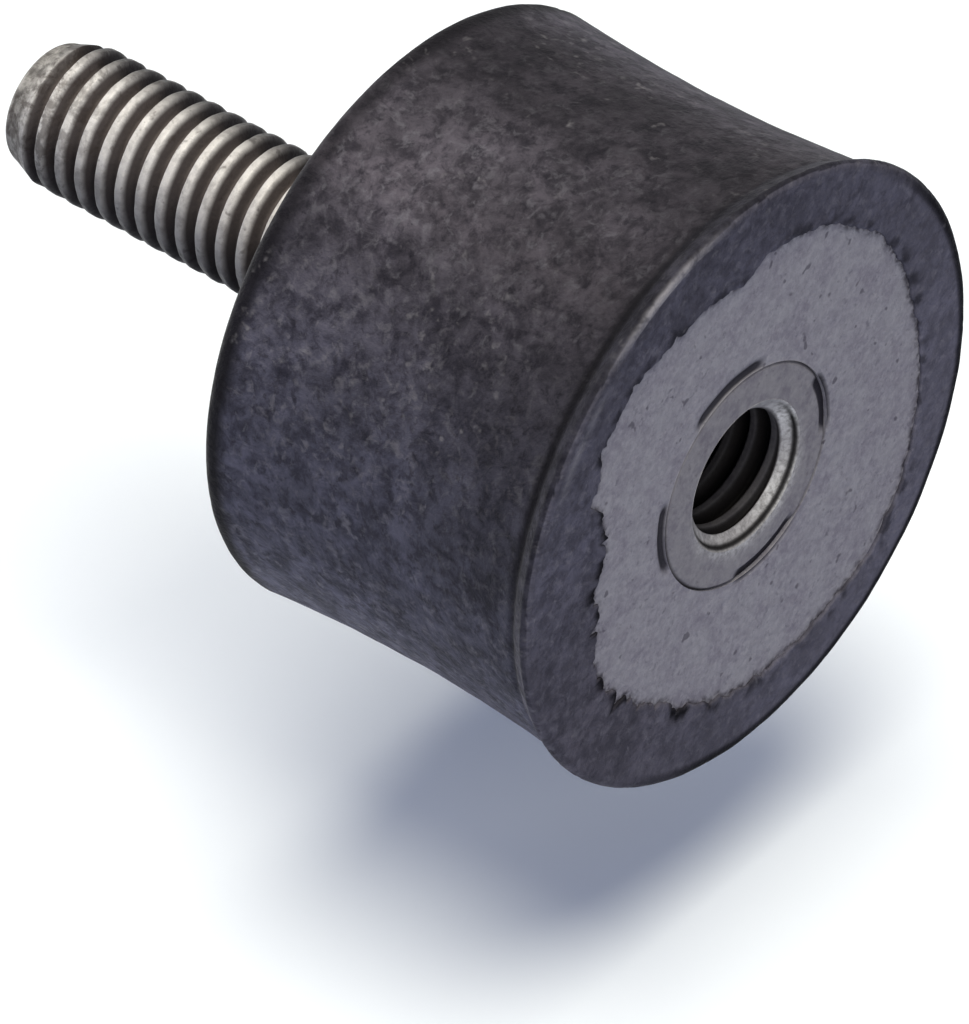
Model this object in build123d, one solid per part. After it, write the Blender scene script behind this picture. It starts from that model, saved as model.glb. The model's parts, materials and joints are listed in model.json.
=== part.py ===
"""Bobbin vibration mount: a rubber body moulded over two steel end plates.

One plate carries a tapped bush and the other a threaded stud. The mount stands on its
tapped face: +Z runs along the axis towards the stud, and z = 0 is the tapped face.
"""
from build123d import *
import os
import math

os.makedirs("parts", exist_ok=True)

# End plates
plate_radius = 11.2
plate_thickness = 2.0
plate_edge_round = 0.3

# Rubber body, outside: its walls are measured from the plates that it covers
body_height = 16.2
neck_wall = 1.0
lip_flare = 0.5
lip_edge_round = 0.3
lip_height = 2.0
stud_rim_wall = 0.95
stud_rim_round = 0.5
waist_draw = 0.3
waist_height = 8.7

# Rubber skin that laps over the face of each plate
skin_thickness = 0.15
skin_lap = 1.3

# Tapped bush, riveted into its plate
spigot_radius = 4.66
bush_length = 8.4
bush_shoulder_step = 1.34
bush_back_chamfer = 0.8
seam_chamfer = 0.14
stake_count = 4
stake_first_angle = 35.0
stake_sweep = 40.0
stake_width = 0.36
stake_depth = 0.2

# Tapped hole, M6 with a pitch of 1 mm: the drawn wall is the thread's crests
tapping_radius = 2.5
tapped_depth = 7.0
drill_point_depth = 0.7
countersink_step = 0.6
countersink_depth = 0.55

# Stud, M6: a short plain neck, then the thread up to a dulled tip
stud_radius = 3.0
stud_length = 18.35
stud_neck_length = 1.05
stud_tip_drop = 0.6
stud_tip_length = 1.5
stud_tip_chamfer = 0.27
collar_step = 0.6
head_step = 2.2
head_thickness = 1.8
head_edge_round = 0.5

# The stud's thread, M6 with a pitch of 1 mm
thread_pitch = 1.0
thread_depth = 0.6134
thread_allowance = 0.03
crest_width = 0.125
flank_angle = 30.0
ridge_foot_sunk = 0.1
ridge_end_gap = 0.5

# Radii that follow from the sizes above
neck_radius = plate_radius + neck_wall
lip_radius = neck_radius + lip_flare
stud_rim_radius = plate_radius + stud_rim_wall
waist_radius = stud_rim_radius - waist_draw
skin_inner_radius = plate_radius - skin_lap
bush_shoulder_radius = spigot_radius + bush_shoulder_step
countersink_radius = tapping_radius + countersink_step
crest_radius = stud_radius - thread_allowance
root_radius = crest_radius - thread_depth
stud_tip_radius = stud_radius - stud_tip_drop
collar_radius = stud_radius + collar_step
head_radius = stud_radius + head_step

# Heights that follow from the sizes above
tapped_face = skin_thickness
tapped_plate_back = tapped_face + plate_thickness
stud_face = body_height - skin_thickness
stud_plate_back = stud_face - plate_thickness
bush_back = tapped_face + bush_length
head_back = stud_plate_back - head_thickness
neck_top = body_height + stud_neck_length
stud_tip = body_height + stud_length


def at(radius, height):
    """A point of a turned outline."""
    return Vector(radius, 0, height)


def disc(radius, bottom, top):
    """A plain disc on the axis between two heights."""
    return extrude(Plane.XY.offset(bottom) * Circle(radius), top - bottom)


def cone(bottom_radius, top_radius, bottom, top):
    """A cone on the axis between two heights."""
    middle = (bottom + top) / 2
    return Pos(0, 0, middle) * Cone(bottom_radius, top_radius, top - bottom)


def turned(*edges):
    """The solid that a closed outline of edges sweeps in a full turn about the axis."""
    return revolve(make_face(Curve() + list(edges)), Axis.Z)


def rounded_disc(radius, bottom, top, edge_round):
    """A disc with both of its outer edges rounded."""
    blank = disc(radius, bottom, top)
    return fillet(blank.edges().filter_by(GeomType.CIRCLE), edge_round)


def body_form():
    """The moulded outside: a flared lip, a shallow waist and a rounded rim at the stud."""
    upwards = Vector(0, 0, 1)
    lip_start = at(lip_radius - lip_edge_round, 0)
    lip_end = at(lip_radius, lip_edge_round)
    neck = at(neck_radius, lip_height)
    waist = at(waist_radius, waist_height)
    rim_start = at(stud_rim_radius, body_height - stud_rim_round)
    rim_end = at(stud_rim_radius - stud_rim_round, body_height)
    return turned(
        Line(at(0, 0), lip_start),
        TangentArc(lip_end, lip_start, tangent=-upwards),
        TangentArc(neck, lip_end, tangent=-upwards),
        ThreePointArc(neck, waist, rim_start),
        TangentArc(rim_start, rim_end, tangent=upwards),
        Line(rim_end, at(0, body_height)),
        Line(at(0, body_height), at(0, 0)),
    )


def plate_blank(bottom):
    """An end plate before its hole."""
    return rounded_disc(plate_radius, bottom, bottom + plate_thickness, plate_edge_round)


def bush_shoulder():
    """The stout part of the bush behind its plate."""
    blank = disc(bush_shoulder_radius, tapped_plate_back, bush_back)
    return chamfer(blank.edges().group_by(Axis.Z)[-1], bush_back_chamfer)


def stud_head():
    """The head that holds the stud behind its plate."""
    return rounded_disc(head_radius, head_back, stud_plate_back, head_edge_round)


def rubber_body():
    """The body, with room for the plates, the bush and the stud's head."""
    body = body_form()
    body -= disc(skin_inner_radius, 0, tapped_face)
    body -= disc(skin_inner_radius, stud_face, body_height)
    body -= plate_blank(tapped_face)
    body -= plate_blank(stud_plate_back)
    body -= bush_shoulder()
    return body - stud_head()


def tapped_end_plate():
    """The plate round the bush, with its hole eased at the face."""
    hole = disc(spigot_radius, tapped_face, tapped_plate_back)
    easing = cone(spigot_radius + seam_chamfer, spigot_radius, tapped_face, tapped_face + seam_chamfer)
    return plate_blank(tapped_face) - hole - easing


def stake_mark(angle):
    """One curved punch mark, centred on an angle, that spreads the spigot's rim into the plate."""
    start = angle - stake_sweep / 2
    outer = CenterArc((0, 0), spigot_radius, start, stake_sweep)
    inner = CenterArc((0, 0), spigot_radius - stake_width, start, stake_sweep)
    ends = [Line(inner @ 0, outer @ 0), Line(inner @ 1, outer @ 1)]
    outline = make_face(Curve() + [outer, inner] + ends)
    return extrude(Plane.XY.offset(tapped_face) * outline, stake_depth)


def threaded_bush():
    """The bush: a spigot through the plate, a shoulder behind it and a blind tapped hole."""
    spigot = disc(spigot_radius, tapped_face, tapped_plate_back)
    bush = chamfer(spigot.edges().group_by(Axis.Z)[0], seam_chamfer) + bush_shoulder()
    hole_end = tapped_face + tapped_depth
    bush -= disc(tapping_radius, tapped_face, hole_end)
    bush -= cone(tapping_radius, 0, hole_end, hole_end + drill_point_depth)
    bush -= cone(countersink_radius, tapping_radius, tapped_face, tapped_face + countersink_depth)
    for number in range(stake_count):
        bush -= stake_mark(stake_first_angle + number * 360 / stake_count)
    return bush


def stud_end_plate():
    """The plate at the stud, with a hole for the stud's collar."""
    return plate_blank(stud_plate_back) - disc(collar_radius, stud_plate_back, stud_face)


def stud_taper():
    """The cone that draws the thread in at the tip, long enough to hold the whole shank."""
    slope = (crest_radius - stud_tip_radius) / stud_tip_length
    foot_radius = stud_tip_radius + slope * (stud_tip - body_height)
    return cone(foot_radius, stud_tip_radius, body_height, stud_tip)


def stud_core():
    """The shank inside the thread, with its end chamfered."""
    core = disc(root_radius, stud_face, stud_tip)
    return chamfer(core.edges().group_by(Axis.Z)[-1], stud_tip_chamfer)


def thread_ridge():
    """The thread: a ridge with its foot sunk in the core, swept up a right-handed helix."""
    start = neck_top - thread_pitch
    rise = stud_tip - ridge_end_gap - start
    foot_radius = root_radius - ridge_foot_sunk
    half_crest = crest_width / 2
    half_foot = half_crest + (crest_radius - foot_radius) * math.tan(math.radians(flank_angle))
    corners = [
        (crest_radius, half_crest),
        (foot_radius, half_foot),
        (foot_radius, -half_foot),
        (crest_radius, -half_crest),
    ]
    across_helix = Plane(origin=(0, 0, start), x_dir=(1, 0, 0), z_dir=(0, -1, 0))
    section = across_helix * make_face(Polyline(*corners, close=True))
    helix = Helix(pitch=thread_pitch, height=rise, radius=root_radius, center=(0, 0, start))
    return sweep(section, path=helix, is_frenet=True)


def stud():
    """The stud: head behind the plate, collar pressed in it, a plain neck and a threaded shank."""
    collar = disc(collar_radius, stud_plate_back, stud_face)
    neck = disc(stud_radius, stud_face, neck_top)
    thread = thread_ridge() & stud_taper()
    return stud_head() + collar + neck + stud_core() + thread


pieces = {
    "rubber_body": rubber_body,
    "tapped_end_plate": tapped_end_plate,
    "threaded_bush": threaded_bush,
    "stud_end_plate": stud_end_plate,
    "stud": stud,
}

for name, build_piece in pieces.items():
    export_step(build_piece(), f"parts/{name}.step")
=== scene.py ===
"""Bobbin vibration mount: the dressed model, its studio and its camera.

Shapes are worked out in millimetres and scaled to metres as each mesh is made, and angles are azimuths
in degrees from +X. Every piece is turned about the Z axis: it is a stack of rings, each with its own
radius and height at every angle.
"""
import json
import math

import bmesh
import bpy
import numpy as np
from mathutils import Matrix, Vector, noise


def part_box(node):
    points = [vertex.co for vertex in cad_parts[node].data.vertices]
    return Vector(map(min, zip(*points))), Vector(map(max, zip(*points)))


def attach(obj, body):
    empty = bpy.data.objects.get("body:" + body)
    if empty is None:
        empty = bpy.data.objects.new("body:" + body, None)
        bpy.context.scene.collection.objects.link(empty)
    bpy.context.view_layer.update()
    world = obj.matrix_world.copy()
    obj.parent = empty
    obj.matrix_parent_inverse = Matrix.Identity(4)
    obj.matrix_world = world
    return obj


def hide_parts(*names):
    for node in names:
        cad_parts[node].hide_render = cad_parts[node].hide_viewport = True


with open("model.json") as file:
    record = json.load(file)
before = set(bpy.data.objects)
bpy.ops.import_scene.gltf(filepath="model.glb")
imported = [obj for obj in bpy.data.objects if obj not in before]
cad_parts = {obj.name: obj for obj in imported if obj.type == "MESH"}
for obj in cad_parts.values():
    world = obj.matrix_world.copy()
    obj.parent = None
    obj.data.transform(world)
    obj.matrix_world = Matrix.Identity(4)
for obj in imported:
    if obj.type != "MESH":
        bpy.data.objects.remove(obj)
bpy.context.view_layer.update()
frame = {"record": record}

MM = 0.001


def reach(node):
    """A CAD node's outer radius, bottom and top, in millimetres."""
    low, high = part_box(node)
    return high[0] / MM, low[2] / MM, high[2] / MM


mounts = {mount["name"]: mount["dims"] for mount in frame["record"]["mounts"]}

# Sizes that the frame gives
LIP_RADIUS, BODY_BOTTOM, BODY_TOP = reach("rubber_body")
PLATE_RADIUS, TAPPED_FACE, TAPPED_PLATE_BACK = reach("tapped_end_plate")
SHOULDER_RADIUS, _, BUSH_BACK = reach("threaded_bush")
_, STUD_PLATE_BACK, STUD_FACE = reach("stud_end_plate")
HEAD_RADIUS, HEAD_BACK, STUD_TIP = reach("stud")
STUD_RADIUS = mounts["stud"]["r_mm"]
NECK_TOP = STUD_FACE + mounts["stud"]["length_mm"]
BORE_RADIUS = mounts["tapped_hole"]["r_mm"]
BORE_LENGTH = mounts["tapped_hole"]["length_mm"]

# Rubber body
LIP_EDGE_ROUND = 0.3
LIP_HEIGHT = 2.0
NECK_RADIUS = 12.2
WAIST_RADIUS = 11.85
WAIST_HEIGHT = 8.7
RIM_RADIUS = 12.15
RIM_ROUND = 0.5
CREASE_HEIGHT = 0.95
SKIN_RADIUS = 9.9
LIP_SHADE_HEIGHT = 1.1

# Plates, bush and stud
PLATE_EDGE_ROUND = 0.3
SPIGOT_RADIUS = 4.66
SHOULDER_CHAMFER = 0.8
SEAM_CHAMFER = 0.14
COUNTERSINK_RADIUS = 3.1
COUNTERSINK_DEPTH = 0.55
GROOVE_RADIUS = 2.96
DRILL_POINT = 0.7
COLLAR_RADIUS = 3.6
COLLAR_CHAMFER = 0.12
HEAD_ROUND = 0.5
CREST_RADIUS = 2.97
TIP_RADIUS = 2.4
TIP_LENGTH = 1.5
TIP_ROUND = 0.4
WORN_LENGTH = 1.5
WORN_FADE = 0.8
SOIL_LENGTH = 6.5
SOIL_FADE = 5

# M6 thread, with its crests worn broad and its roots rounded
PITCH = 1.0
THREAD_DEPTH = 0.6134 * PITCH
CREST_FLAT = PITCH / 8
FLANK_SLOPE = math.tan(math.radians(60))
CREST_WEAR = 1.12
ROOT_ROUNDING = 0.85
BORE_THREAD_START = 0.3
BORE_THREAD_DEPTH = 0.88 * THREAD_DEPTH


# ---------------------------------------------------------------- outlines

def straight(start, end, count):
    """Points along a straight stretch of an outline, without its end."""
    return [tuple(np.array(start) + (np.array(end) - start) * step / count) for step in range(count)]


def rounded(centre, radius, first, last, count):
    """Points along a round stretch of an outline, by angle in degrees, with its end."""
    angles = np.radians(np.linspace(first, last, count + 1))
    return [(centre[0] + radius * math.cos(a), centre[1] + radius * math.sin(a)) for a in angles]


def disc_edge(outer, bottom, top, edge_round, count):
    """The outer edge of a disc with rounded corners, from its bottom to its top."""
    middle = outer - edge_round
    return [
        *rounded((middle, bottom + edge_round), edge_round, -90, 0, count),
        *rounded((middle, top - edge_round), edge_round, 0, 90, count),
    ]


def arc_through(first, middle, last, count):
    """Points along the arc through three points, without its end."""
    (ax, ay), (bx, by), (cx, cy) = first, middle, last
    turn = 2 * (ax * (by - cy) + bx * (cy - ay) + cx * (ay - by))
    a2, b2, c2 = ax * ax + ay * ay, bx * bx + by * by, cx * cx + cy * cy
    centre_x = (a2 * (by - cy) + b2 * (cy - ay) + c2 * (ay - by)) / turn
    centre_y = (a2 * (cx - bx) + b2 * (ax - cx) + c2 * (bx - ax)) / turn
    heights = np.linspace(ay, cy, count + 1)[:-1]
    reach_out = np.sqrt(math.hypot(ax - centre_x, ay - centre_y) ** 2 - (heights - centre_y) ** 2)
    side = 1 if bx > centre_x else -1
    return [(centre_x + side * out, height) for out, height in zip(reach_out, heights)]


def flare(start, end, count):
    """Points along the arc that leaves start straight down the axis and bends out to end, end first."""
    rise, out = start[1] - end[1], end[0] - start[0]
    radius = (rise * rise + out * out) / (2 * out)
    heights = np.linspace(end[1], start[1], count + 1)[:-1]
    return [(start[0] + radius - math.sqrt(radius ** 2 - (start[1] - height) ** 2), height)
            for height in heights]


# ---------------------------------------------------------------- values round the axis

def around(segments):
    """The azimuth of every segment."""
    return np.linspace(0, 360, segments, endpoint=False)


def bell(values, middle, width):
    """A smooth bump that rises from 0 to 1 at its middle."""
    return np.exp(-((values - middle) / width) ** 2)


def alignment(angles, azimuth):
    """1 at an azimuth, 0 square to it and -1 opposite."""
    return np.cos(np.radians(angles - azimuth))


def at_azimuths(table, angles):
    """A table's columns at every angle. Its first column gives the azimuths."""
    azimuths, *columns = np.array(table).T
    return [np.interp(angles, azimuths, column, period=360) for column in columns]


# ---------------------------------------------------------------- rings

def turned(outline, segments, **paint):
    """A stretch of rings, the same at every angle. paint gives values for its points."""
    radii, heights = np.array(outline).T
    return {
        "radii": np.repeat(radii[:, None], segments, 1),
        "heights": np.repeat(heights[:, None], segments, 1),
        **paint,
    }


def stacked(*stretches):
    """Stretches of rings as one stack, with 0 where a stretch gives no value."""
    layers = sorted({layer for stretch in stretches for layer in stretch})
    return {
        layer: np.vstack([stretch.get(layer, 0) + 0 * stretch["radii"] for stretch in stretches])
        for layer in layers
    }


def points_of(radii, heights):
    """Ring points as x, y and z."""
    angles = np.radians(around(radii.shape[1]))
    return np.stack([radii * np.cos(angles), radii * np.sin(angles), heights], -1)


def roughness_of(points, size, octaves, seed):
    """Smooth noise at every point, about -1 to 1, with features of a size in millimetres."""
    shift = Vector((seed * 17.3, seed * 5.1, seed * 9.7))
    flat = points.reshape(-1, 3) / size
    values = [noise.fractal(Vector(point) + shift, 1.0, 2.0, octaves) for point in flat]
    return np.array(values).reshape(points.shape[:-1])


def press_in(radii, heights, depth):
    """A stretch of rings moved inwards, square to the outline, by a depth at every point."""
    along_r = np.gradient(radii, axis=0)
    along_z = np.gradient(heights, axis=0)
    length = np.hypot(along_r, along_z)
    return {"radii": radii - depth * along_z / length, "heights": heights + depth * along_r / length}


def ring_mesh(name, radii, heights, loop=False, **paint):
    """An object made of rings, with values for its points. A loop joins its last ring to its first."""
    rings, segments = radii.shape
    index = np.arange(rings * segments).reshape(rings, segments)
    if loop:
        index = np.vstack([index, index[:1]])
    beside = np.roll(index, -1, 1)
    quads = np.stack([index[:-1], beside[:-1], beside[1:], index[1:]], -1).reshape(-1, 4)
    mesh = bpy.data.meshes.new(name)
    mesh.from_pydata((points_of(radii, heights) * MM).reshape(-1, 3).tolist(), [], quads.tolist())
    for layer, values in paint.items():
        attribute = mesh.attributes.new(layer, "FLOAT", "POINT")
        attribute.data.foreach_set("value", np.broadcast_to(values, radii.shape).ravel().astype(float))
    work = bmesh.new()
    work.from_mesh(mesh)
    bmesh.ops.remove_doubles(work, verts=work.verts, dist=1e-7)
    bmesh.ops.recalc_face_normals(work, faces=work.faces)
    work.to_mesh(mesh)
    work.free()
    mesh.shade_smooth()
    mesh.set_sharp_from_angle(angle=math.radians(50))
    piece = bpy.data.objects.new(name, mesh)
    bpy.context.scene.collection.objects.link(piece)
    return piece


def install(piece, node, material):
    """The piece takes a CAD node's place, with a finish."""
    piece.data.materials.append(material)
    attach(piece, "root")
    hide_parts(node)


# ---------------------------------------------------------------- shader tools

class Finish:
    """A material on a Principled shader, with short calls for the nodes used here."""

    def __init__(self, name, **settings):
        self.material = bpy.data.materials.new(name)
        self.material.use_nodes = True
        self.tree = self.material.node_tree
        self.shader = self.tree.nodes["Principled BSDF"]
        for socket, value in settings.items():
            self.shader.inputs[socket.replace("_", " ")].default_value = value
        coordinates = self.tree.nodes.new("ShaderNodeTexCoord")
        to_mm = self.tree.nodes.new("ShaderNodeVectorMath")
        to_mm.operation = "SCALE"
        to_mm.inputs["Scale"].default_value = 1 / MM
        self.tree.links.new(coordinates.outputs["Object"], to_mm.inputs[0])
        self.place = to_mm.outputs[0]

    def give(self, socket, source):
        """A socket takes a source: another node's socket, or a plain value."""
        if isinstance(source, bpy.types.NodeSocket):
            self.tree.links.new(source, socket)
        else:
            socket.default_value = source

    def noise(self, size, detail, rough, distortion, shift):
        """Noise from 0 to 1 with features of a size in millimetres. shift tells one noise from another."""
        node = self.tree.nodes.new("ShaderNodeTexNoise")
        node.noise_dimensions = "4D"
        self.give(node.inputs["Vector"], self.place)
        node.inputs["W"].default_value = shift
        node.inputs["Scale"].default_value = 1 / size
        node.inputs["Detail"].default_value = detail
        node.inputs["Roughness"].default_value = rough
        node.inputs["Distortion"].default_value = distortion
        return node.outputs["Fac"]

    def value(self, layer):
        """A value that the mesh carries at each point."""
        node = self.tree.nodes.new("ShaderNodeAttribute")
        node.attribute_name = layer
        return node.outputs["Fac"]

    def between(self, source, low, high, to_low=0.0, to_high=1.0):
        """A source stretched smoothly from one range to another."""
        node = self.tree.nodes.new("ShaderNodeMapRange")
        node.interpolation_type = "SMOOTHSTEP"
        self.give(node.inputs["Value"], source)
        node.inputs["From Min"].default_value = low
        node.inputs["From Max"].default_value = high
        node.inputs["To Min"].default_value = to_low
        node.inputs["To Max"].default_value = to_high
        return node.outputs["Result"]

    def patches(self, low, high, most=1.0, least=0.0, size=1.0, detail=3.0, rough=0.6, distortion=0.3,
                shift=0.0):
        """Patches of noise: least where it is under low, most where it is over high."""
        return self.between(self.noise(size, detail, rough, distortion, shift), low, high, least, most)

    def both(self, operation, first, second):
        """Two values put together by an operation, such as MULTIPLY."""
        node = self.tree.nodes.new("ShaderNodeMath")
        node.operation = operation
        self.give(node.inputs[0], first)
        self.give(node.inputs[1], second)
        return node.outputs[0]

    def mix(self, share, first, second):
        """A colour between two, by a share."""
        node = self.tree.nodes.new("ShaderNodeMix")
        node.data_type = "RGBA"
        colours = [socket for socket in node.inputs if socket.type == "RGBA"]
        self.give(node.inputs["Factor"], share)
        for socket, colour in zip(colours, (first, second)):
            self.give(socket, colour if isinstance(colour, bpy.types.NodeSocket) else (*colour, 1))
        return next(socket for socket in node.outputs if socket.type == "RGBA")

    def relief(self, depth, size, detail=3.0, rough=0.6, distortion=0.0, shift=0.0, below=None):
        """A bump of noise, by its depth and size in millimetres, on top of another one."""
        node = self.tree.nodes.new("ShaderNodeBump")
        node.inputs["Distance"].default_value = depth * MM
        self.give(node.inputs["Height"], self.noise(size, detail, rough, distortion, shift))
        if below is not None:
            self.give(node.inputs["Normal"], below)
        return node.outputs["Normal"]

    def done(self, colour, normal, roughness=None):
        """The material, once its colour and the rest are joined to the shader."""
        self.give(self.shader.inputs["Base Color"], colour)
        self.give(self.shader.inputs["Normal"], normal)
        if roughness is not None:
            self.give(self.shader.inputs["Roughness"], roughness)
        return self.material


# ---------------------------------------------------------------- materials

# Near-black painted shade in the punch marks
PUNCH_MARK_SHADE = (0.026, 0.024, 0.031)


def rubber_finish():
    """Blue-black moulded rubber: blotched and grainy, with dusty freckles in clusters, darkened by painted
    shade, and lit along the lip's edge by a painted highlight with wear.
    """
    finish = Finish("rubber_finish", Roughness=0.62, Specular_IOR_Level=0.06)
    blotch = finish.patches(0.34, 0.66, size=0.90, detail=5.0, rough=0.68, distortion=0.4, shift=3.1)
    dark = finish.mix(finish.value("warm"), (0.0300, 0.0290, 0.0430), (0.0330, 0.0290, 0.0370))
    pale = finish.mix(finish.value("warm"), (0.1050, 0.1020, 0.1390), (0.1250, 0.1100, 0.1300))
    colour = finish.mix(blotch, dark, pale)
    fleck = finish.patches(0.50, 0.72, 0.75, size=0.42, rough=0.65, shift=7.7)
    colour = finish.mix(fleck, colour, (0.0150, 0.0135, 0.0200))
    fibre = finish.patches(0.50, 0.72, 0.60, size=0.50, rough=0.65, distortion=0.6, shift=16.0)
    colour = finish.mix(fibre, colour, (0.190, 0.180, 0.205))
    patch = finish.patches(0.36, 0.64, size=2.6, detail=2.0, rough=0.5, shift=40.0)
    colour = finish.mix(patch, finish.mix(0.30, colour, (0.012, 0.011, 0.013)), colour)
    colour = finish.mix(finish.value("smooth"), colour, (0.165, 0.156, 0.190))
    # Painted light and shade: the tone darkens the rubber towards black
    colour = finish.mix(finish.value("tone"), (0.004, 0.0035, 0.005), colour)
    cluster = finish.patches(0.50, 0.68, size=2.4, detail=1.0, rough=0.5, distortion=0.0, shift=12.0)
    spot = finish.patches(0.58, 0.82, 0.70, size=0.44, detail=2.0, rough=0.5, distortion=0.2, shift=21.0)
    freckle = finish.both("MULTIPLY", finish.both("MAXIMUM", finish.value("dust"), cluster), spot)
    colour = finish.mix(freckle, colour, (0.19, 0.18, 0.19))
    # A painted highlight with wear along the lip's edge and on the face beside it, broken up in patches
    rubbed_and_lit = finish.patches(0.34, 0.56, size=0.9, distortion=0.2, shift=30.0)
    worn_and_lit = finish.both("MULTIPLY", finish.value("wear_and_highlight"), rubbed_and_lit)
    colour = finish.mix(worn_and_lit, colour, (0.215, 0.205, 0.220))
    grain = finish.relief(0.05, size=0.20, shift=5.0)
    uneven = finish.relief(0.12, size=0.6, detail=4.0, distortion=0.4, shift=9.0, below=grain)
    return finish.done(colour, uneven)


def plate_finish():
    """Blue-grey bonding primer on steel: matt and mottled, with dark specks, grime and painted shade along
    the skin's edge, and painted shade in the punch marks.
    """
    finish = Finish("plate_finish", Roughness=0.6, Specular_IOR_Level=0.35)
    tint = finish.patches(0.33, 0.67, size=1.2, shift=2.0)
    colour = finish.mix(tint, (0.192, 0.176, 0.204), (0.250, 0.238, 0.256))
    grain = finish.patches(0.33, 0.70, 0.65, size=0.28, detail=4.0, rough=0.65, distortion=0.2, shift=4.0)
    colour = finish.mix(grain, colour, (0.335, 0.320, 0.338))
    fleck = finish.patches(0.56, 0.74, 0.55, size=0.30, shift=9.0)
    colour = finish.mix(fleck, colour, (0.110, 0.100, 0.125))
    speck = finish.patches(0.68, 0.76, 0.7, size=0.42, detail=1.0, rough=0.4, distortion=0.2, shift=14.0)
    colour = finish.mix(speck, colour, (0.060, 0.052, 0.068))
    # Darker along the skin's edge: grime, and painted shade at the skin's step
    grime = finish.both("MULTIPLY", finish.value("grime"), finish.patches(0.36, 0.62, size=0.4, shift=19.0))
    colour = finish.mix(grime, colour, (0.030, 0.026, 0.034))
    # Painted shade in the punch marks
    colour = finish.mix(finish.value("punched"), colour, PUNCH_MARK_SHADE)
    return finish.done(colour, finish.relief(0.05, size=0.25, shift=6.0))


def bush_finish():
    """Steel bush: primed grey on its face, bare with painted highlights in the countersink, black with
    painted shade in the bore, round the countersink's mouth and in the punch marks, and dark along the
    seam, partly a joint and partly painted shade.
    """
    finish = Finish("bush_finish", Roughness=0.55, Specular_IOR_Level=0.08)
    tint = finish.patches(0.33, 0.67, size=0.8, shift=2.5)
    colour = finish.mix(tint, (0.166, 0.152, 0.172), (0.226, 0.213, 0.222))
    grain = finish.patches(0.36, 0.70, 0.6, size=0.26, detail=4.0, rough=0.65, distortion=0.2, shift=4.5)
    colour = finish.mix(grain, colour, (0.286, 0.272, 0.276))
    fleck = finish.patches(0.56, 0.74, 0.5, size=0.28, shift=9.5)
    colour = finish.mix(fleck, colour, (0.110, 0.098, 0.110))
    scratches = finish.patches(0.32, 0.68, size=0.22, detail=4.0, rough=0.65, distortion=0.4, shift=8.0)
    # Bare steel in the countersink, scratched, with painted highlights
    bare = finish.mix(scratches, (0.26, 0.25, 0.235), (0.66, 0.64, 0.62))
    colour = finish.mix(finish.value("bare"), colour, bare)
    # Painted shade in the punch marks
    colour = finish.mix(finish.value("punched"), colour, PUNCH_MARK_SHADE)
    # Painted shade: black in the bore and in the groove round its mouth, and dark along the seam, which is
    # partly a joint
    colour = finish.mix(finish.value("dark"), colour, (0.006, 0.005, 0.005))
    return finish.done(colour, finish.relief(0.04, size=0.2, shift=6.5))


def stud_finish():
    """Rolled steel: bright on the thread's crests and dark brown in its roots, partly wear and grime and
    partly painted highlight and shade, dull at the tip, and with painted light and shade round the axis.
    """
    finish = Finish("stud_finish", Metallic=0.08, Specular_IOR_Level=0.08)
    worn_and_lit = finish.patches(0.25, 0.60, least=0.55, size=0.45, detail=4.0, shift=1.0)
    # Bright crests: wear and a painted highlight; dark roots: grime and painted shade
    wear_and_highlight = finish.both("MULTIPLY", finish.between(finish.value("crest"), 0.56, 1.0), worn_and_lit)
    colour = finish.mix(wear_and_highlight, (0.095, 0.080, 0.077), (0.72, 0.69, 0.665))
    stain = finish.patches(0.35, 0.65, size=0.5, detail=4.0, rough=0.65, distortion=0.5, shift=3.0)
    dull = finish.mix(stain, (0.140, 0.130, 0.122), (0.42, 0.40, 0.375))
    colour = finish.mix(finish.value("tip"), colour, dull)
    dirt = finish.patches(0.60, 0.72, 0.5, size=0.40, detail=2.0, rough=0.5, distortion=0.2, shift=17.0)
    soiled = finish.patches(0.46, 0.60, 0.75, size=0.80, detail=4.0, rough=0.65, distortion=0.4, shift=25.0)
    dirt = finish.both("MAXIMUM", dirt, finish.both("MULTIPLY", soiled, finish.value("soil")))
    colour = finish.mix(dirt, colour, (0.055, 0.042, 0.036))
    # Painted light and shade: the tone darkens the steel towards black
    colour = finish.mix(finish.value("tone"), (0.012, 0.010, 0.012), colour)
    roughness = finish.between(wear_and_highlight, 0.2, 0.9, 0.65, 0.45)
    return finish.done(colour, finish.relief(0.04, size=0.18, shift=2.2), roughness)


# ---------------------------------------------------------------- rubber skin

# Where the skin's ragged edge lies on the tapped face: azimuth and radius
SKIN_EDGE = (
    (0, 9.30), (20, 9.45), (30, 8.75), (45, 8.50), (55, 8.05), (65, 8.90), (68, 9.85), (75, 9.95),
    (82, 10.40), (95, 10.50), (110, 9.85), (120, 9.70), (130, 9.20), (138, 9.90), (155, 10.10),
    (180, 10.15), (210, 9.85), (225, 10.05), (240, 10.40), (255, 10.75), (270, 10.90), (285, 10.50),
    (300, 10.15), (315, 9.95), (330, 9.45), (345, 9.15),
)


def skin_edge_tapped(segments):
    """The radius of the skin's inner edge on the tapped face, torn where the mould leaked least."""
    angles = around(segments)
    edge, = at_azimuths(SKIN_EDGE, angles)
    ring = points_of(edge[None], 0 * edge[None])
    torn = (0.5 + 0.5 * alignment(angles, 25)) ** 2
    ragged = (0.10 + 0.17 * torn) * roughness_of(ring, 0.75, 4, 3.0)
    frayed = 0.075 * roughness_of(ring, 0.30, 3, 13.0)
    teeth = 0.9 * torn * np.clip(roughness_of(ring, 0.45, 2, 8.0) - 0.12, 0, 1)
    return (edge + ragged + frayed + teeth)[0]


def skin_edge_stud(segments):
    """The radius of the skin's inner edge on the face at the stud."""
    edge = np.full((1, segments), SKIN_RADIUS)
    ring = points_of(edge, 0 * edge)
    return (edge + 0.35 * roughness_of(ring, 6.0, 2, 5.0) + 0.12 * roughness_of(ring, 0.8, 4, 6.0))[0]


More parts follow.
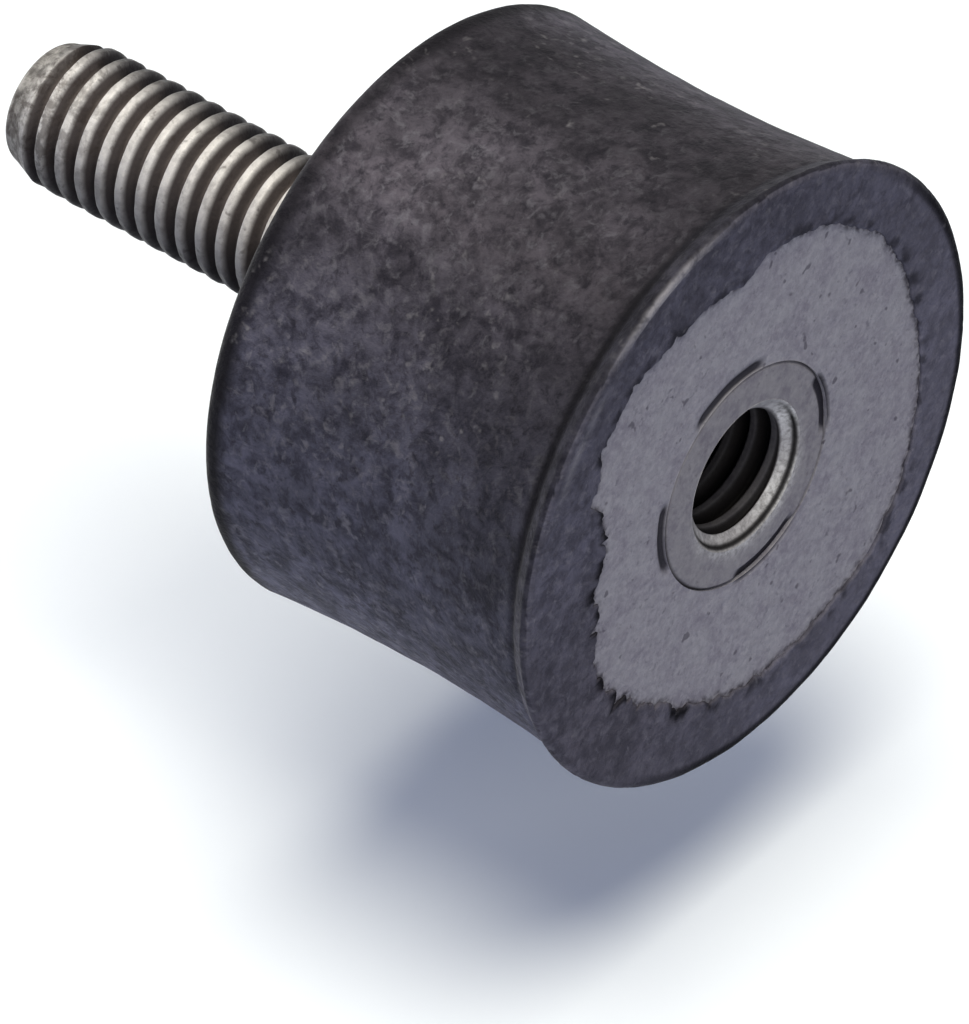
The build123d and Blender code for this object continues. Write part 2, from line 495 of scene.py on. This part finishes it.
def skin_rings(edge, outer, face, proud, count):
    """The skin over a plate's face, from its feathered edge out to a radius."""
    shares = np.r_[0, 0, 0.012, 0.03, np.linspace(0.06, 1, count)][:, None]
    lifts = np.r_[0, 0.45, 0.8, 0.95, np.ones(count)][:, None]
    return {"radii": edge + (outer - edge) * shares, "heights": face + (proud - face) * lifts + 0 * edge}


# ---------------------------------------------------------------- rubber body

# Tone of the flank round the axis, partly the rubber's own and partly painted light and shade: azimuth,
# then tone beside the lip, at the waist and by the rim, and warmth, each from 0 to 1
FLANK_TONE_AND_SHADE = (
    (0, 1.00, 1.00, 1.00, 0.0), (30, 0.98, 1.00, 1.00, 0.0), (45, 0.58, 0.96, 0.90, 0.0),
    (60, 0.48, 0.77, 0.96, 0.0), (75, 0.45, 0.57, 0.84, 0.2), (90, 0.38, 0.60, 0.58, 0.6),
    (105, 0.36, 0.62, 0.92, 1.0), (120, 0.46, 0.72, 0.84, 0.9), (135, 0.26, 0.33, 0.29, 0.9),
    (150, 0.28, 0.24, 0.24, 0.9), (165, 0.60, 0.56, 0.64, 0.6), (200, 0.72, 0.72, 0.72, 0.3),
    (300, 0.80, 0.80, 0.80, 0.1),
)
TONE_HEIGHTS = (2.5, 6.5, 13.0)


def flank_shade(angles, heights):
    """The flank's tone, with its painted light and shade, and its warmth at each point."""
    *tones, warmth = at_azimuths(FLANK_TONE_AND_SHADE, angles)
    low, middle, high = TONE_HEIGHTS
    rise = np.clip((heights - low) / (middle - low), 0, 1)
    climb = np.clip((heights - middle) / (high - middle), 0, 1)
    return tones[0] + (tones[1] - tones[0]) * rise + (tones[2] - tones[1]) * climb, warmth


# Azimuths of the rubber's marks: the far side of its face, and where the painted shade on the lip's far
# edge, in the bites of the torn skin, in the crease and on the rim is darkest
FAR_SIDE = 255
FAR_EDGE = 258
TORN_SIDE = 20
CREASE_SIDE = 88
RIM_SIDE = 90

# Dusty spots on the flank: azimuth and width, height and reach, and strength
DUST_SPOTS = ((88, 16, 7, 3.6, 1.0), (62, 18, 11, 3.5, 0.7))


def lip_edge_line(radii, heights):
    """A faint painted shade round the lip's rounded edge."""
    return 0.20 * bell(heights, 0.25, 0.30) * (radii > LIP_RADIUS - 0.35)


def crease_line(angles, radii, heights):
    """Painted shade in the crease between the lip and the flank, black where it is deepest in shade."""
    line = 0.96 * bell(heights, CREASE_HEIGHT + 0.02, 0.25) * (radii > SKIN_RADIUS)
    return line * np.clip(0.25 + bell(angles, CREASE_SIDE, 42), 0, 1)


def rim_line(angles, radii, heights):
    """Painted shade on the rounded rim at the stud's end, which turns away from the light."""
    line = np.clip((heights - BODY_TOP + 1.15) / 0.4, 0, 1) * (radii > RIM_RADIUS - 0.9)
    dark = 0.55 + 0.39 * np.clip(0.6 + 2 * alignment(angles, RIM_SIDE), 0, 1)
    return line * dark * (1 - 0.35 * bell(angles, 112, 25))


def far_edge_line(angles, radii, heights):
    """Painted shade on the lip's outer edge, on the side away from the light."""
    line = np.clip((radii - LIP_RADIUS + 0.62) / 0.2, 0, 1) * (heights < LIP_EDGE_ROUND)
    return 0.93 * line * np.clip(2.6 * alignment(angles, FAR_EDGE), 0, 1)


def tear_line(angles, radii, heights):
    """Painted shade in dark bites along the skin's torn edge."""
    bites = np.clip(4.0 * roughness_of(points_of(radii, 0 * heights), 0.9, 2, 44.0), 0, 1)
    line = 0.95 * bites * bell(radii, skin_edge_tapped(len(angles)) + 0.15, 0.34)
    return line * np.clip(1.6 * alignment(angles, TORN_SIDE), 0.65, 1)


def rubber_paint(radii, heights):
    """What each point of the rubber carries for its finish: tone with painted light and shade, warmth,
    dust, wear with a painted highlight, and smoothness.
    """
    angles = around(radii.shape[1])
    face = (heights < LIP_EDGE_ROUND) & (radii < LIP_RADIUS - 0.1)
    far_side = (0.5 + 0.5 * alignment(angles, FAR_SIDE)) ** 2
    flank_tone, flank_warmth = flank_shade(angles, heights)
    face_tone = 0.78 + 0.22 * far_side + 0.16 * bell(angles, 62, 28)
    tone = np.where(face, face_tone, flank_tone)
    # Painted shade on the lip's edge, in the crease, on the rim, on the lip's far edge and in the bites of
    # the torn skin
    tone = tone * (1 - lip_edge_line(radii, heights))
    tone = tone * (1 - crease_line(angles, radii, heights) * ~face)
    tone = tone * (1 - rim_line(angles, radii, heights))
    tone = tone * (1 - far_edge_line(angles, radii, heights))
    tone = tone * (1 - tear_line(angles, radii, heights) * face)
    lip_warmth = 0.1 + 0.6 * np.clip(alignment(angles, 0), 0, 1) ** 4
    # A painted highlight with wear: a light streak along the lip's edge near azimuth 110, and a light scuff
    # on the face beside it near azimuth 80
    lit_streak = 1.25 * bell(heights, 0.06, 0.10) * (radii > LIP_RADIUS - 0.34) * bell(angles, 110, 11)
    lit_scuff = 0.6 * bell(radii, 12.1, 0.20) * face * bell(angles, 80, 10)
    dust = sum(strength * bell(angles, azimuth, width) * bell(heights, height, reach_up)
               for azimuth, width, height, reach_up, strength in DUST_SPOTS)
    return {
        "tone": tone,
        "warm": np.where(heights < LIP_SHADE_HEIGHT, lip_warmth, flank_warmth),
        "dust": dust,
        "wear_and_highlight": lit_streak + lit_scuff,
        "smooth": (0.25 + 0.22 * far_side) * face,
    }


def outside_relief(radii, heights):
    """How far the rubber's outside lies inside its ideal shape at each point."""
    angles = around(radii.shape[1])
    points = points_of(radii, heights)
    uneven = 0.020 + 0.020 * roughness_of(points, 1.6, 4, 1.0)
    pits = 0.10 * np.clip(roughness_of(points, 0.6, 2, 2.0) - 0.45, 0, 1)
    crease_height = CREASE_HEIGHT + 0.10 * np.sin(np.radians(3 * angles))
    crease_depth = 0.05 + 0.05 * alignment(angles, 50)
    crease = crease_depth * bell(heights, crease_height, 0.16) * (radii > SKIN_RADIUS)
    on_skin = (heights < TAPPED_FACE) & (radii < LIP_RADIUS - LIP_EDGE_ROUND)
    at_stud = heights > BODY_TOP - TAPPED_FACE
    return np.clip(uneven + pits + crease, 0, 1) * np.where(on_skin | at_stud, 0.6, 1.0)


def rubber_body():
    """The rubber, with its flared lip, crease and torn skin, and the room inside for the steel."""
    segments = 512
    tapped_room = [
        (0, BUSH_BACK), (SHOULDER_RADIUS - SHOULDER_CHAMFER, BUSH_BACK),
        (SHOULDER_RADIUS, BUSH_BACK - SHOULDER_CHAMFER), (SHOULDER_RADIUS, TAPPED_PLATE_BACK),
        *reversed(disc_edge(PLATE_RADIUS, TAPPED_FACE, TAPPED_PLATE_BACK, PLATE_EDGE_ROUND, 3)),
    ]
    lip_end = (LIP_RADIUS, LIP_EDGE_ROUND)
    neck = (NECK_RADIUS, LIP_HEIGHT)
    waist = (WAIST_RADIUS, WAIST_HEIGHT)
    rim_start = (RIM_RADIUS, BODY_TOP - RIM_ROUND)
    outside = [
        *rounded((LIP_RADIUS - LIP_EDGE_ROUND, LIP_EDGE_ROUND), LIP_EDGE_ROUND, -90, 0, 8)[:-1],
        *flare(neck, lip_end, 16),
        *arc_through(neck, waist, rim_start, 74),
        *rounded((RIM_RADIUS - RIM_ROUND, BODY_TOP - RIM_ROUND), RIM_ROUND, 0, 90, 6),
    ]
    stud_room = [
        *reversed(disc_edge(PLATE_RADIUS, STUD_PLATE_BACK, STUD_FACE, PLATE_EDGE_ROUND, 3)),
        *reversed(disc_edge(HEAD_RADIUS, HEAD_BACK, STUD_PLATE_BACK, HEAD_ROUND, 3)),
        (0, HEAD_BACK),
    ]
    # The skin's rings end just short of the round edge that follows them
    gap = 0.05
    tapped_skin = skin_rings(skin_edge_tapped(segments), LIP_RADIUS - LIP_EDGE_ROUND - gap, TAPPED_FACE,
                             BODY_BOTTOM, 20)
    stud_skin = skin_rings(skin_edge_stud(segments), RIM_RADIUS - RIM_ROUND - gap, STUD_FACE, BODY_TOP, 12)
    stud_skin = {layer: values[::-1] for layer, values in stud_skin.items()}
    shown = stacked(tapped_skin, turned(outside, segments), stud_skin)
    shown = press_in(**shown, depth=outside_relief(**shown))
    rings = stacked(turned(tapped_room, segments), shown, turned(stud_room, segments))
    return ring_mesh("rubber_body_dressed", **rings, **rubber_paint(**rings))


# ---------------------------------------------------------------- punch marks

# Curved punch marks by the seam round the bush: middle azimuth, sweep, radius and half width
STAKES = ((41, 42, 4.80, 0.27), (121, 50, 4.86, 0.27), (212, 40, 4.56, 0.34), (298, 48, 4.54, 0.34))
# Their depth, and the angle over which each end fades out
STAKE_DEPTH = 0.16
STAKE_END = 7


def stake_share(radii, angles):
    """How deep in a punch mark each point of the tapped face lies, from 0 to 1."""
    share = np.zeros_like(radii)
    for middle, sweep, radius, half_width in STAKES:
        away = np.abs((angles - middle + 180) % 360 - 180)
        inside = np.clip((sweep / 2 - away) / STAKE_END, 0, 1)
        across = np.clip(1 - np.abs(radii - radius) / half_width, 0, 1)
        share = np.maximum(share, inside * across ** 0.6)
    return share


def stake_shade(share):
    """How much painted shade a punch mark carries, by how deep a point lies in it."""
    return np.clip(1.8 * share, 0, 1)


# ---------------------------------------------------------------- plates

def plate(name, bottom, top, hole, tapped, seed):
    """An end plate: a disc with rounded edges and a hole, uneven on the face that shows."""
    segments = 384
    middle = PLATE_RADIUS - PLATE_EDGE_ROUND
    by_hole = hole + 0.3
    rings = turned([
        *straight((hole, top), (hole, bottom), 2),
        *straight((hole, bottom), (by_hole, bottom), 10),
        *straight((by_hole, bottom), (middle, bottom), 40),
        *disc_edge(PLATE_RADIUS, bottom, top, PLATE_EDGE_ROUND, 4),
        *straight((middle, top), (hole, top), 40),
    ], segments)
    radii, heights = rings["radii"], rings["heights"]
    points = points_of(radii, heights)
    dip = 0.010 + 0.010 * roughness_of(points, 1.1, 4, seed)
    dip += 0.10 * np.clip(roughness_of(points, 0.5, 2, seed + 1) - 0.5, 0, 1)
    face = bottom if tapped else top
    inwards = 1 if tapped else -1
    shows = (np.abs(heights - face) < 1e-6) & (radii > hole + 0.005) & (radii < middle - 0.1)
    stakes = stake_share(radii, around(segments)) * shows * tapped
    skin = skin_edge_tapped(segments) if tapped else skin_edge_stud(segments)
    heights = heights + inwards * np.clip(dip, 0, 1) * shows + STAKE_DEPTH * stakes
    # The finish darkens the plate along the skin's edge with grime and painted shade, and in the punch
    # marks with painted shade
    return ring_mesh(name, radii, heights, loop=True, grime=bell(radii, skin, 0.16) * shows,
                     punched=stake_shade(stakes))


# ---------------------------------------------------------------- bush

BORE_END = TAPPED_FACE + COUNTERSINK_DEPTH + BORE_LENGTH
# How much painted shade darkens the bore
BORE_SHADE = 0.985


def thread_share(heights, angles, start):
    """How far up a thread's ridge each point lies: 0 in the root, 1 on the crest."""
    along = (heights - start) / PITCH - angles / 360
    from_crest = np.abs(along - np.round(along)) * PITCH
    ridge = 1 - (from_crest - CREST_FLAT / 2) * FLANK_SLOPE / THREAD_DEPTH
    ridge = np.clip(CREST_WEAR * ridge, 0, 1)
    return 0.5 - 0.5 * np.cos(math.pi * ridge ** ROOT_ROUNDING)


def bush_bore(angles):
    """The bush's bore, from its end to its mouth: an M6 thread, then the countersink. Its values carry
    painted shade in the hole and round the mouth, and painted light and highlights on the crests and the
    cone.
    """
    heights = np.linspace(BORE_END, TAPPED_FACE, 190)[:, None] + 0 * angles
    ridge = thread_share(heights, angles, BORE_THREAD_START)
    run_out = np.clip((BORE_END - heights) / PITCH, 0, 1)
    run_in = np.clip((heights - TAPPED_FACE - COUNTERSINK_DEPTH + 0.15) / 0.5, 0, 1)
    thread = BORE_RADIUS + BORE_THREAD_DEPTH * (1 - ridge) * run_out * run_in
    cone_share = (heights - TAPPED_FACE) / COUNTERSINK_DEPTH
    radii = np.maximum(thread, COUNTERSINK_RADIUS - cone_share * (COUNTERSINK_RADIUS - BORE_RADIUS))
    in_cone = np.clip((TAPPED_FACE + COUNTERSINK_DEPTH - heights) / 0.1, 0, 1)
    # Painted light on the thread's crests, strongest nearest the mouth
    lit = 0.34 * ridge ** 16 * np.clip(1.25 - heights / 3.2, 0.1, 1)
    # Painted shade of a narrow groove round the countersink's mouth, which the shape doesn't have, darkest
    # on one side
    groove_shaded = np.clip(0.55 + alignment(angles, 285), 0, 1)
    groove = np.clip(1.5 * bell(radii, GROOVE_RADIUS, 0.08) * groove_shaded, 0, 0.97) * in_cone
    # Painted highlights on the countersink's cone near azimuths 198 and 268
    painted_highlight = 0.46 + 0.54 * np.maximum(bell(angles, 198, 18), bell(angles, 268, 24))
    # Painted shade: the bore black but for its lit crests, and the groove
    dark = np.maximum((1 - in_cone) * (BORE_SHADE - lit), groove)
    return {"radii": radii, "heights": heights, "dark": dark, "bare": in_cone * painted_highlight}


def bush_face(angles):
    """The bush's face, from the countersink out to the seam, with its punch marks, painted shade along one
    side of the seam and a painted highlight by the countersink.
    """
    radii = np.linspace(COUNTERSINK_RADIUS + 0.02, SPIGOT_RADIUS - 0.002, 44)[:, None] + 0 * angles
    stakes = stake_share(radii, angles)
    chamfer = np.clip(radii - SPIGOT_RADIUS + SEAM_CHAMFER, 0, SEAM_CHAMFER)
    uneven = 0.012 + 0.012 * roughness_of(points_of(radii, 0 * radii), 0.8, 4, 4.0)
    # Painted shade: the seam is darker on the side towards azimuth 350
    in_shade = np.clip(2 * alignment(angles, 350) - 1, 0, 1)
    seam = bell(radii, SPIGOT_RADIUS - 0.03, 0.09) * (0.45 + 0.40 * in_shade)
    # Bare steel with a painted highlight round the countersink's edge, brightest towards azimuth 300
    rubbed_and_lit = bell(radii, COUNTERSINK_RADIUS, 0.36) * np.clip(0.15 + 0.5 * alignment(angles, 300), 0, 1)
    heights = TAPPED_FACE + uneven + np.maximum(STAKE_DEPTH * stakes, chamfer)
    return {
        "radii": radii, "heights": heights,
        "dark": seam, "bare": rubbed_and_lit, "punched": stake_shade(stakes),
    }


def threaded_bush():
    """The bush: countersunk mouth, M6 thread, punch marks on its face and a shoulder behind."""
    segments = 256
    angles = around(segments)
    drill_point = [(0, BORE_END + DRILL_POINT), (BORE_RADIUS / 2, BORE_END + DRILL_POINT / 2)]
    behind = [
        (SPIGOT_RADIUS, TAPPED_FACE + SEAM_CHAMFER + 0.3), (SPIGOT_RADIUS, TAPPED_PLATE_BACK),
        (SHOULDER_RADIUS, TAPPED_PLATE_BACK), (SHOULDER_RADIUS, BUSH_BACK - SHOULDER_CHAMFER),
        (SHOULDER_RADIUS - SHOULDER_CHAMFER, BUSH_BACK), (0, BUSH_BACK),
    ]
    # The drill point at the bore's end carries the bore's painted shade
    rings = stacked(turned(drill_point, segments, dark=BORE_SHADE), bush_bore(angles), bush_face(angles),
                    turned(behind, segments))
    return ring_mesh("threaded_bush_dressed", **rings)


# ---------------------------------------------------------------- stud

# Painted light and shade round the thread, brightest near azimuth 112 and darkest near 0 and 170: azimuth
# and a share from 0 to 1
STUD_LIGHT_AND_SHADE = (
    (5, 0.03), (17, 0.05), (30, 0.23), (53, 0.46), (70, 0.76), (90, 0.94), (112, 1.0), (126, 0.88),
    (139, 0.50), (150, 0.20), (163, 0.04), (180, 0.03), (215, 0.45), (275, 0.65), (330, 0.35),
)


def stud_thread(angles):
    """The stud's thread up to its worn tip."""
    heights = np.linspace(NECK_TOP, STUD_TIP - TIP_ROUND, 430)[:, None] + 0 * angles
    ridge = thread_share(heights, angles, NECK_TOP)
    worn_off = np.clip((heights - STUD_TIP + WORN_LENGTH) / WORN_FADE, 0, 1)
    worn_off = worn_off * worn_off * (3 - 2 * worn_off)
    thread = CREST_RADIUS - THREAD_DEPTH * (1 - ridge)
    thread = thread + 0.9 * worn_off * (CREST_RADIUS - 0.05 - thread)
    taper = TIP_RADIUS + (STUD_TIP - heights) * (CREST_RADIUS - TIP_RADIUS) / TIP_LENGTH
    radii = np.minimum(thread, taper)
    radii = radii - 0.02 - 0.02 * roughness_of(points_of(radii, heights), 0.7, 3, 11.0)
    return {"radii": radii, "heights": heights, "crest": ridge, "tip": worn_off}


def stud():
    """The stud: head, collar, plain neck, and an M6 thread that ends in a dull, rounded tip."""
    segments = 176
    angles = around(segments)
    root = [
        (0, HEAD_BACK), *disc_edge(HEAD_RADIUS, HEAD_BACK, STUD_PLATE_BACK, HEAD_ROUND, 3),
        (COLLAR_RADIUS, STUD_PLATE_BACK), (COLLAR_RADIUS, STUD_FACE - COLLAR_CHAMFER),
        (COLLAR_RADIUS - COLLAR_CHAMFER, STUD_FACE),
        (STUD_RADIUS, STUD_FACE), (STUD_RADIUS, NECK_TOP - 0.05),
    ]
    tip_edge = TIP_RADIUS + TIP_ROUND * (CREST_RADIUS - TIP_RADIUS) / TIP_LENGTH
    end = rounded((tip_edge - TIP_ROUND - 0.02, STUD_TIP - TIP_ROUND), TIP_ROUND, 10, 90, 8)
    end += [(tip_edge * share, STUD_TIP) for share in (0.7, 0.5, 0.3, 0.15, 0)]
    rings = stacked(turned(root, segments, crest=0.80), stud_thread(angles),
                    turned(end, segments, crest=0.5, tip=1))
    # Painted light and shade round the thread, with lighter roots near azimuth 147, evened out towards the
    # tip
    tone, = at_azimuths(STUD_LIGHT_AND_SHADE, angles)
    tone = tone * (1 + 1.8 * bell(angles, 147, 15) * (1 - rings["crest"]))
    tone = tone + 0.5 * (0.75 - tone) * rings["tip"]
    soil = np.clip((rings["heights"] - STUD_TIP + SOIL_LENGTH) / SOIL_FADE, 0, 1)
    return ring_mesh("stud_dressed", **rings, tone=tone, soil=soil)


# ---------------------------------------------------------------- stage, light and camera

# The mount floats on its side over a table, which the camera sees from above
VIEW_UP_AZIMUTH = 132.715
TABLE_AZIMUTH = 130.5
TABLE_TILT = 2.5
TABLE_GAP = 6.5
TABLE_SIZE = 1200
FLOOR_GAP = 0.05
FLOOR_SIZE = 6000
VIEW_AZIMUTH = 90.0
VIEW_ELEVATION = -30.023
VIEW_DISTANCE = 635.0
VIEW_TARGET = (5.745, 3.981, 6.890)
VIEW_LENS = 607.19

AMBIENT = (0.09, 0.12, 0.22)

# Soft lamps: name, azimuth, elevation, strength, spread and colour
LAMPS = (
    ("key", 131.5, -3.5, 3.3, 46, (1.0, 0.955, 0.80)),
    ("front", 86, -55, 1.35, 40, (1.0, 1.0, 0.98)),
    ("back", 148, 50, 0.30, 30, (1.0, 1.0, 1.0)),
    ("overhead", -45, 80, 2.0, 40, (1.0, 1.0, 1.0)),
    ("fill", -20, -3, 1.4, 110, (0.93, 0.96, 1.0)),
)


def toward(azimuth, elevation):
    """The unit vector at an azimuth and an elevation, in degrees."""
    a, e = math.radians(azimuth), math.radians(elevation)
    return Vector((math.cos(a) * math.cos(e), math.sin(a) * math.cos(e), math.sin(e)))


def facing(out, up):
    """A rotation whose Z axis points out, with its Y axis as near as it can be to up."""
    right = up.cross(out).normalized()
    return Matrix((right, out.cross(right), out)).transposed()


def stage_finish(name, albedo, glow):
    """White unless shadowed, seen from its front only: matt, with a glow that the shadow keeps."""
    material = bpy.data.materials.new(name)
    material.use_nodes = True
    nodes, links = material.node_tree.nodes, material.node_tree.links
    nodes.clear()
    out = nodes.new("ShaderNodeOutputMaterial")
    matt = nodes.new("ShaderNodeBsdfDiffuse")
    matt.inputs["Color"].default_value = (*albedo, 1)
    light = nodes.new("ShaderNodeEmission")
    light.inputs["Color"].default_value = (*glow, 1)
    front = nodes.new("ShaderNodeAddShader")
    clear = nodes.new("ShaderNodeBsdfTransparent")
    side = nodes.new("ShaderNodeNewGeometry")
    pick = nodes.new("ShaderNodeMixShader")
    links.new(matt.outputs[0], front.inputs[0])
    links.new(light.outputs[0], front.inputs[1])
    links.new(side.outputs["Backfacing"], pick.inputs["Fac"])
    links.new(front.outputs[0], pick.inputs[1])
    links.new(clear.outputs[0], pick.inputs[2])
    links.new(pick.outputs[0], out.inputs["Surface"])
    return material


def stage_plane(name, centre, out, along, size, material):
    """A square sheet of the stage, which lights nothing and casts no shadow."""
    half = size / 2
    corners = [(-half, -half, 0), (half, -half, 0), (half, half, 0), (-half, half, 0)]
    mesh = bpy.data.meshes.new(name)
    mesh.from_pydata(corners, [], [(0, 1, 2, 3)])
    mesh.materials.append(material)
    sheet = bpy.data.objects.new(name, mesh)
    sheet.matrix_world = Matrix.Translation(centre) @ facing(out, along).to_4x4()
    sheet.visible_diffuse = False
    sheet.visible_shadow = False
    sheet.visible_transmission = False
    bpy.context.scene.collection.objects.link(sheet)


def sun(name, direction, strength, spread_angle, colour):
    """A soft, even light from a direction."""
    lamp = bpy.data.lights.new(name, "SUN")
    lamp.energy = strength
    lamp.angle = math.radians(spread_angle)
    lamp.color = colour
    holder = bpy.data.objects.new(name, lamp)
    holder.matrix_world = facing(direction, Vector((0.1, 0.2, 0.97)).normalized()).to_4x4()
    bpy.context.scene.collection.objects.link(holder)


def light_world():
    """White to the camera and in reflections, and a gentler even light on everything else."""
    world = bpy.data.worlds.new("studio")
    world.use_nodes = True
    bpy.context.scene.world = world
    nodes, links = world.node_tree.nodes, world.node_tree.links
    nodes.clear()
    out = nodes.new("ShaderNodeOutputWorld")
    white = nodes.new("ShaderNodeBackground")
    white.inputs["Color"].default_value = (1, 1, 1, 1)
    gentle = nodes.new("ShaderNodeBackground")
    gentle.inputs["Color"].default_value = (*AMBIENT, 1)
    path = nodes.new("ShaderNodeLightPath")
    camera_or_glossy = nodes.new("ShaderNodeMath")
    camera_or_glossy.operation = "ADD"
    seen = nodes.new("ShaderNodeMath")
    seen.operation = "ADD"
    seen.use_clamp = True
    pick = nodes.new("ShaderNodeMixShader")
    links.new(path.outputs["Is Camera Ray"], camera_or_glossy.inputs[0])
    links.new(path.outputs["Is Glossy Ray"], camera_or_glossy.inputs[1])
    links.new(camera_or_glossy.outputs[0], seen.inputs[0])
    links.new(path.outputs["Is Transmission Ray"], seen.inputs[1])
    links.new(seen.outputs[0], pick.inputs["Fac"])
    links.new(gentle.outputs[0], pick.inputs[1])
    links.new(white.outputs[0], pick.inputs[2])
    links.new(pick.outputs[0], out.inputs["Surface"])


def place_camera():
    """The camera, which looks up at the tapped face, turned so that the table is level."""
    lens = bpy.data.cameras.new("camera")
    lens.lens = VIEW_LENS
    lens.sensor_width = 36.0
    lens.clip_start = 0.05
    lens.clip_end = 20.0
    camera = bpy.data.objects.new("camera", lens)
    out = toward(VIEW_AZIMUTH, VIEW_ELEVATION)
    target = Vector(VIEW_TARGET) * MM
    turn = facing(out, toward(VIEW_UP_AZIMUTH, 0.0)).to_4x4()
    camera.matrix_world = Matrix.Translation(target + out * VIEW_DISTANCE * MM) @ turn
    bpy.context.scene.collection.objects.link(camera)
    bpy.context.scene.camera = camera


# ---------------------------------------------------------------- the scene

bpy.context.scene.view_settings.view_transform = "Standard"

primer = plate_finish()
install(rubber_body(), "rubber_body", rubber_finish())
install(plate("tapped_end_plate_dressed", TAPPED_FACE, TAPPED_PLATE_BACK, SPIGOT_RADIUS, True, 20.0),
        "tapped_end_plate", primer)
install(threaded_bush(), "threaded_bush", bush_finish())
install(plate("stud_end_plate_dressed", STUD_PLATE_BACK, STUD_FACE, COLLAR_RADIUS, False, 30.0),
        "stud_end_plate", primer)
install(stud(), "stud", stud_finish())

above = toward(0, 90)
floor_centre = Vector((0, 0, (BODY_BOTTOM - FLOOR_GAP) * MM))
floor_white = stage_finish("floor_finish", (0.95, 0.95, 0.95), (0.10, 0.11, 0.13))
stage_plane("floor", floor_centre, above, toward(90, 0), FLOOR_SIZE * MM, floor_white)
off_table = toward(TABLE_AZIMUTH, TABLE_TILT)
table_centre = off_table * -(LIP_RADIUS + TABLE_GAP) * MM
table_white = stage_finish("table_finish", (0.90, 0.94, 1.0), (0.0, 0.0, 0.0))
stage_plane("table", table_centre, off_table, above, TABLE_SIZE * MM, table_white)

light_world()
for lamp_name, azimuth, elevation, strength, spread_angle, colour in LAMPS:
    sun(lamp_name, toward(azimuth, elevation), strength, spread_angle, colour)
place_camera()
